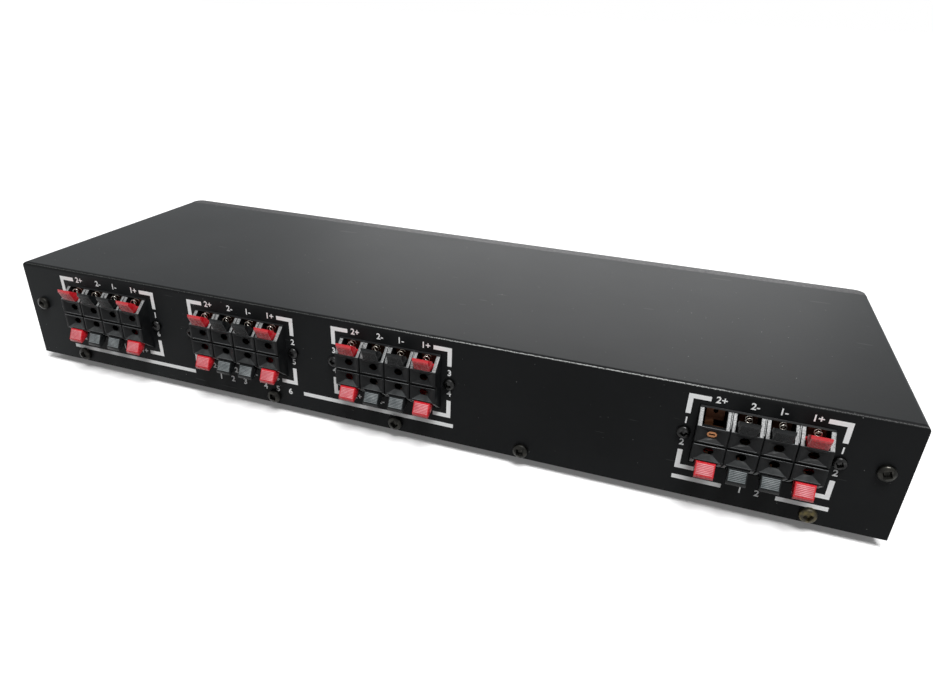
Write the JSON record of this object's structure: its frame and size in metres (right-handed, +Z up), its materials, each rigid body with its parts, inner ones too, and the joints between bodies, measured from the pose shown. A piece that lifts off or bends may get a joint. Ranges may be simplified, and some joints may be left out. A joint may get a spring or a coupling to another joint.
{
  "type": "speaker selector switch",
  "caption": "Flat steel case with four rear spring terminal blocks for loudspeaker wires, red and black levers, and push buttons on its front.",
  "frame": {"origin": "middle of the footprint, on the surface that the feet stand on", "axes": "+Z up, +Y out of the rear panel with its terminals, -Y towards the front panel with its buttons, +X along the case"},
  "size_m": [0.43, 0.1584, 0.0584],
  "materials": {
    "case_paint": "dark grey powder coat, fine texture",
    "tray_paint": "dark grey powder coat, fine texture",
    "front_moulding": "black, satin",
    "block_plastic": "black, fine texture",
    "lever_red": "red, satin",
    "lever_black": "black, satin",
    "contact_copper": "bare copper, tarnished",
    "spring_steel": "bright plated wire",
    "terminal_screw_black": "black",
    "cover_screw_zinc": "yellowed zinc",
    "foot_rubber": "matt",
    "board_laminate": "brown laminate",
    "switch_plastic": "pale grey",
    "header_plastic": "natural nylon",
    "standoff_brass": "turned",
    "inner_screw_steel": "zinc",
    "loom_insulation": "grey flat cable",
    "button_plastic": "black"
  },
  "bodies": {
    "case": {"top_cover": "case_paint", "base_tray": "tray_paint", "front_panel": "front_moulding", "contact_strips": "contact_copper", "lever_springs": "spring_steel", "terminal_screws": "terminal_screw_black", "cover_screws": "cover_screw_zinc", "rubber_feet": "foot_rubber", "switch_board": "board_laminate", "switch_bodies": "switch_plastic", "board_headers": "header_plastic", "board_standoffs": "standoff_brass", "board_screws": "inner_screw_steel", "front_panel_screws": "inner_screw_steel", "wire_looms": "loom_insulation", "terminal_backs": "block_plastic", "terminal_block_1_6": "block_plastic", "terminal_block_2_5": "block_plastic", "terminal_block_3_4": "block_plastic", "terminal_block_input": "block_plastic"},
    "lever_speaker_1_left_plus": {"lever_speaker_1_left_plus": "lever_red"},
    "lever_speaker_1_left_minus": {"lever_speaker_1_left_minus": "lever_black"},
    "lever_speaker_1_right_minus": {"lever_speaker_1_right_minus": "lever_black"},
    "lever_speaker_1_right_plus": {"lever_speaker_1_right_plus": "lever_red"},
    "lever_speaker_6_left_plus": {"lever_speaker_6_left_plus": "lever_red"},
    "lever_speaker_6_left_minus": {"lever_speaker_6_left_minus": "lever_black"},
    "lever_speaker_6_right_minus": {"lever_speaker_6_right_minus": "lever_black"},
    "lever_speaker_6_right_plus": {"lever_speaker_6_right_plus": "lever_red"},
    "lever_speaker_2_left_plus": {"lever_speaker_2_left_plus": "lever_red"},
    "lever_speaker_2_left_minus": {"lever_speaker_2_left_minus": "lever_black"},
    "lever_speaker_2_right_minus": {"lever_speaker_2_right_minus": "lever_black"},
    "lever_speaker_2_right_plus": {"lever_speaker_2_right_plus": "lever_red"},
    "lever_speaker_5_left_plus": {"lever_speaker_5_left_plus": "lever_red"},
    "lever_speaker_5_left_minus": {"lever_speaker_5_left_minus": "lever_black"},
    "lever_speaker_5_right_minus": {"lever_speaker_5_right_minus": "lever_black"},
    "lever_speaker_5_right_plus": {"lever_speaker_5_right_plus": "lever_red"},
    "lever_speaker_3_left_plus": {"lever_speaker_3_left_plus": "lever_red"},
    "lever_speaker_3_left_minus": {"lever_speaker_3_left_minus": "lever_black"},
    "lever_speaker_3_right_minus": {"lever_speaker_3_right_minus": "lever_black"},
    "lever_speaker_3_right_plus": {"lever_speaker_3_right_plus": "lever_red"},
    "lever_speaker_4_left_plus": {"lever_speaker_4_left_plus": "lever_red"},
    "lever_speaker_4_left_minus": {"lever_speaker_4_left_minus": "lever_black"},
    "lever_speaker_4_right_minus": {"lever_speaker_4_right_minus": "lever_black"},
    "lever_speaker_4_right_plus": {"lever_speaker_4_right_plus": "lever_red"},
    "lever_input_a_left_plus": {"lever_input_a_left_plus": "lever_red"},
    "lever_input_a_left_minus": {"lever_input_a_left_minus": "lever_black"},
    "lever_input_a_right_minus": {"lever_input_a_right_minus": "lever_black"},
    "lever_input_b_left_plus": {"lever_input_b_left_plus": "lever_red"},
    "lever_input_b_left_minus": {"lever_input_b_left_minus": "lever_black"},
    "lever_input_b_right_minus": {"lever_input_b_right_minus": "lever_black"},
    "lever_input_b_right_plus": {"lever_input_b_right_plus": "lever_red"},
    "button_select": {"button_select": "button_plastic"},
    "button_speaker_1": {"button_speaker_1": "button_plastic"},
    "button_speaker_2": {"button_speaker_2": "button_plastic"},
    "button_speaker_3": {"button_speaker_3": "button_plastic"},
    "button_speaker_4": {"button_speaker_4": "button_plastic"},
    "button_speaker_5": {"button_speaker_5": "button_plastic"},
    "button_speaker_6": {"button_speaker_6": "button_plastic"}
  },
  "joints": [
    {"name": "speaker_1_left_plus_press", "type": "hinge", "parent": "case", "child": "lever_speaker_1_left_plus", "pos_m": [0.14195, 0.0729, 0.0456], "axis": [1, 0, 0], "range_deg": [0, 20], "stiffness_Nm_per_rad": 0.05, "springref_deg": -17.19, "deforming": ["lever_springs"]},
    {"name": "speaker_1_left_minus_press", "type": "hinge", "parent": "case", "child": "lever_speaker_1_left_minus", "pos_m": [0.15438, 0.0729, 0.0456], "axis": [1, 0, 0], "range_deg": [0, 20], "stiffness_Nm_per_rad": 0.05, "springref_deg": -17.19, "deforming": ["lever_springs"]},
    {"name": "speaker_1_right_minus_press", "type": "hinge", "parent": "case", "child": "lever_speaker_1_right_minus", "pos_m": [0.16681, 0.0729, 0.0456], "axis": [1, 0, 0], "range_deg": [0, 20], "stiffness_Nm_per_rad": 0.05, "springref_deg": -17.19, "deforming": ["lever_springs"]},
    {"name": "speaker_1_right_plus_press", "type": "hinge", "parent": "case", "child": "lever_speaker_1_right_plus", "pos_m": [0.17924, 0.0729, 0.0456], "axis": [1, 0, 0], "range_deg": [0, 20], "stiffness_Nm_per_rad": 0.05, "springref_deg": -17.19, "deforming": ["lever_springs"]},
    {"name": "speaker_6_left_plus_press", "type": "hinge", "parent": "case", "child": "lever_speaker_6_left_plus", "pos_m": [0.14195, 0.0729, 0.027], "axis": [-1, 0, 0], "range_deg": [0, 20], "stiffness_Nm_per_rad": 0.05, "springref_deg": -17.19, "deforming": ["lever_springs"]},
    {"name": "speaker_6_left_minus_press", "type": "hinge", "parent": "case", "child": "lever_speaker_6_left_minus", "pos_m": [0.15438, 0.0729, 0.027], "axis": [-1, 0, 0], "range_deg": [0, 20], "stiffness_Nm_per_rad": 0.05, "springref_deg": -17.19, "deforming": ["lever_springs"]},
    {"name": "speaker_6_right_minus_press", "type": "hinge", "parent": "case", "child": "lever_speaker_6_right_minus", "pos_m": [0.16681, 0.0729, 0.027], "axis": [-1, 0, 0], "range_deg": [0, 20], "stiffness_Nm_per_rad": 0.05, "springref_deg": -17.19, "deforming": ["lever_springs"]},
    {"name": "speaker_6_right_plus_press", "type": "hinge", "parent": "case", "child": "lever_speaker_6_right_plus", "pos_m": [0.17924, 0.0729, 0.027], "axis": [-1, 0, 0], "range_deg": [0, 20], "stiffness_Nm_per_rad": 0.05, "springref_deg": -17.19, "deforming": ["lever_springs"]},
    {"name": "speaker_2_left_plus_press", "type": "hinge", "parent": "case", "child": "lever_speaker_2_left_plus", "pos_m": [0.06166, 0.0729, 0.0456], "axis": [1, 0, 0], "range_deg": [0, 20], "stiffness_Nm_per_rad": 0.05, "springref_deg": -17.19, "deforming": ["lever_springs"]},
    {"name": "speaker_2_left_minus_press", "type": "hinge", "parent": "case", "child": "lever_speaker_2_left_minus", "pos_m": [0.07408, 0.0729, 0.0456], "axis": [1, 0, 0], "range_deg": [0, 20], "stiffness_Nm_per_rad": 0.05, "springref_deg": -17.19, "deforming": ["lever_springs"]},
    {"name": "speaker_2_right_minus_press", "type": "hinge", "parent": "case", "child": "lever_speaker_2_right_minus", "pos_m": [0.08651, 0.0729, 0.0456], "axis": [1, 0, 0], "range_deg": [0, 20], "stiffness_Nm_per_rad": 0.05, "springref_deg": -17.19, "deforming": ["lever_springs"]},
    {"name": "speaker_2_right_plus_press", "type": "hinge", "parent": "case", "child": "lever_speaker_2_right_plus", "pos_m": [0.09895, 0.0729, 0.0456], "axis": [1, 0, 0], "range_deg": [0, 20], "stiffness_Nm_per_rad": 0.05, "springref_deg": -17.19, "deforming": ["lever_springs"]},
    {"name": "speaker_5_left_plus_press", "type": "hinge", "parent": "case", "child": "lever_speaker_5_left_plus", "pos_m": [0.06166, 0.0729, 0.027], "axis": [-1, 0, 0], "range_deg": [0, 20], "stiffness_Nm_per_rad": 0.05, "springref_deg": -17.19, "deforming": ["lever_springs"]},
    {"name": "speaker_5_left_minus_press", "type": "hinge", "parent": "case", "child": "lever_speaker_5_left_minus", "pos_m": [0.07408, 0.0729, 0.027], "axis": [-1, 0, 0], "range_deg": [0, 20], "stiffness_Nm_per_rad": 0.05, "springref_deg": -17.19, "deforming": ["lever_springs"]},
    {"name": "speaker_5_right_minus_press", "type": "hinge", "parent": "case", "child": "lever_speaker_5_right_minus", "pos_m": [0.08651, 0.0729, 0.027], "axis": [-1, 0, 0], "range_deg": [0, 20], "stiffness_Nm_per_rad": 0.05, "springref_deg": -17.19, "deforming": ["lever_springs"]},
    {"name": "speaker_5_right_plus_press", "type": "hinge", "parent": "case", "child": "lever_speaker_5_right_plus", "pos_m": [0.09895, 0.0729, 0.027], "axis": [-1, 0, 0], "range_deg": [0, 20], "stiffness_Nm_per_rad": 0.05, "springref_deg": -17.19, "deforming": ["lever_springs"]},
    {"name": "speaker_3_left_plus_press", "type": "hinge", "parent": "case", "child": "lever_speaker_3_left_plus", "pos_m": [-0.01864, 0.0729, 0.0456], "axis": [1, 0, 0], "range_deg": [0, 20], "stiffness_Nm_per_rad": 0.05, "springref_deg": -17.19, "deforming": ["lever_springs"]},
    {"name": "speaker_3_left_minus_press", "type": "hinge", "parent": "case", "child": "lever_speaker_3_left_minus", "pos_m": [-0.00622, 0.0729, 0.0456], "axis": [1, 0, 0], "range_deg": [0, 20], "stiffness_Nm_per_rad": 0.05, "springref_deg": -17.19, "deforming": ["lever_springs"]},
    {"name": "speaker_3_right_minus_press", "type": "hinge", "parent": "case", "child": "lever_speaker_3_right_minus", "pos_m": [0.00622, 0.0729, 0.0456], "axis": [1, 0, 0], "range_deg": [0, 20], "stiffness_Nm_per_rad": 0.05, "springref_deg": -17.19, "deforming": ["lever_springs"]},
    {"name": "speaker_3_right_plus_press", "type": "hinge", "parent": "case", "child": "lever_speaker_3_right_plus", "pos_m": [0.01864, 0.0729, 0.0456], "axis": [1, 0, 0], "range_deg": [0, 20], "stiffness_Nm_per_rad": 0.05, "springref_deg": -17.19, "deforming": ["lever_springs"]},
    {"name": "speaker_4_left_plus_press", "type": "hinge", "parent": "case", "child": "lever_speaker_4_left_plus", "pos_m": [-0.01864, 0.0729, 0.027], "axis": [-1, 0, 0], "range_deg": [0, 20], "stiffness_Nm_per_rad": 0.05, "springref_deg": -17.19, "deforming": ["lever_springs"]},
    {"name": "speaker_4_left_minus_press", "type": "hinge", "parent": "case", "child": "lever_speaker_4_left_minus", "pos_m": [-0.00622, 0.0729, 0.027], "axis": [-1, 0, 0], "range_deg": [0, 20], "stiffness_Nm_per_rad": 0.05, "springref_deg": -17.19, "deforming": ["lever_springs"]},
    {"name": "speaker_4_right_minus_press", "type": "hinge", "parent": "case", "child": "lever_speaker_4_right_minus", "pos_m": [0.00622, 0.0729, 0.027], "axis": [-1, 0, 0], "range_deg": [0, 20], "stiffness_Nm_per_rad": 0.05, "springref_deg": -17.19, "deforming": ["lever_springs"]},
    {"name": "speaker_4_right_plus_press", "type": "hinge", "parent": "case", "child": "lever_speaker_4_right_plus", "pos_m": [0.01864, 0.0729, 0.027], "axis": [-1, 0, 0], "range_deg": [0, 20], "stiffness_Nm_per_rad": 0.05, "springref_deg": -17.19, "deforming": ["lever_springs"]},
    {"name": "input_a_left_plus_press", "type": "hinge", "parent": "case", "child": "lever_input_a_left_plus", "pos_m": [-0.17924, 0.0729, 0.0456], "axis": [1, 0, 0], "range_deg": [0, 20], "stiffness_Nm_per_rad": 0.05, "springref_deg": -17.19, "deforming": ["lever_springs"]},
    {"name": "input_a_left_minus_press", "type": "hinge", "parent": "case", "child": "lever_input_a_left_minus", "pos_m": [-0.16681, 0.0729, 0.0456], "axis": [1, 0, 0], "range_deg": [0, 20], "stiffness_Nm_per_rad": 0.05, "springref_deg": -17.19, "deforming": ["lever_springs"]},
    {"name": "input_a_right_minus_press", "type": "hinge", "parent": "case", "child": "lever_input_a_right_minus", "pos_m": [-0.15438, 0.0729, 0.0456], "axis": [1, 0, 0], "range_deg": [0, 20], "stiffness_Nm_per_rad": 0.05, "springref_deg": -17.19, "deforming": ["lever_springs"]},
    {"name": "input_b_left_plus_press", "type": "hinge", "parent": "case", "child": "lever_input_b_left_plus", "pos_m": [-0.17924, 0.0729, 0.027], "axis": [-1, 0, 0], "range_deg": [0, 20], "stiffness_Nm_per_rad": 0.05, "springref_deg": -17.19, "deforming": ["lever_springs"]},
    {"name": "input_b_left_minus_press", "type": "hinge", "parent": "case", "child": "lever_input_b_left_minus", "pos_m": [-0.16681, 0.0729, 0.027], "axis": [-1, 0, 0], "range_deg": [0, 20], "stiffness_Nm_per_rad": 0.05, "springref_deg": -17.19, "deforming": ["lever_springs"]},
    {"name": "input_b_right_minus_press", "type": "hinge", "parent": "case", "child": "lever_input_b_right_minus", "pos_m": [-0.15438, 0.0729, 0.027], "axis": [-1, 0, 0], "range_deg": [0, 20], "stiffness_Nm_per_rad": 0.05, "springref_deg": -17.19, "deforming": ["lever_springs"]},
    {"name": "input_b_right_plus_press", "type": "hinge", "parent": "case", "child": "lever_input_b_right_plus", "pos_m": [-0.14195, 0.0729, 0.027], "axis": [-1, 0, 0], "range_deg": [0, 20], "stiffness_Nm_per_rad": 0.05, "springref_deg": -17.19, "deforming": ["lever_springs"]},
    {"name": "select_push", "type": "slide", "parent": "case", "child": "button_select", "axis": [0, 1, 0], "range_m": [0, 0.003], "stiffness_N_per_m": 800, "springref_m": -0.002},
    {"name": "speaker_1_push", "type": "slide", "parent": "case", "child": "button_speaker_1", "axis": [0, 1, 0], "range_m": [0, 0.003], "stiffness_N_per_m": 800, "springref_m": -0.002},
    {"name": "speaker_2_push", "type": "slide", "parent": "case", "child": "button_speaker_2", "axis": [0, 1, 0], "range_m": [0, 0.003], "stiffness_N_per_m": 800, "springref_m": -0.002},
    {"name": "speaker_3_push", "type": "slide", "parent": "case", "child": "button_speaker_3", "axis": [0, 1, 0], "range_m": [0, 0.003], "stiffness_N_per_m": 800, "springref_m": -0.002},
    {"name": "speaker_4_push", "type": "slide", "parent": "case", "child": "button_speaker_4", "axis": [0, 1, 0], "range_m": [0, 0.003], "stiffness_N_per_m": 800, "springref_m": -0.002},
    {"name": "speaker_5_push", "type": "slide", "parent": "case", "child": "button_speaker_5", "axis": [0, 1, 0], "range_m": [0, 0.003], "stiffness_N_per_m": 800, "springref_m": -0.002},
    {"name": "speaker_6_push", "type": "slide", "parent": "case", "child": "button_speaker_6", "axis": [0, 1, 0], "range_m": [0, 0.003], "stiffness_N_per_m": 800, "springref_m": -0.002}
  ]
}
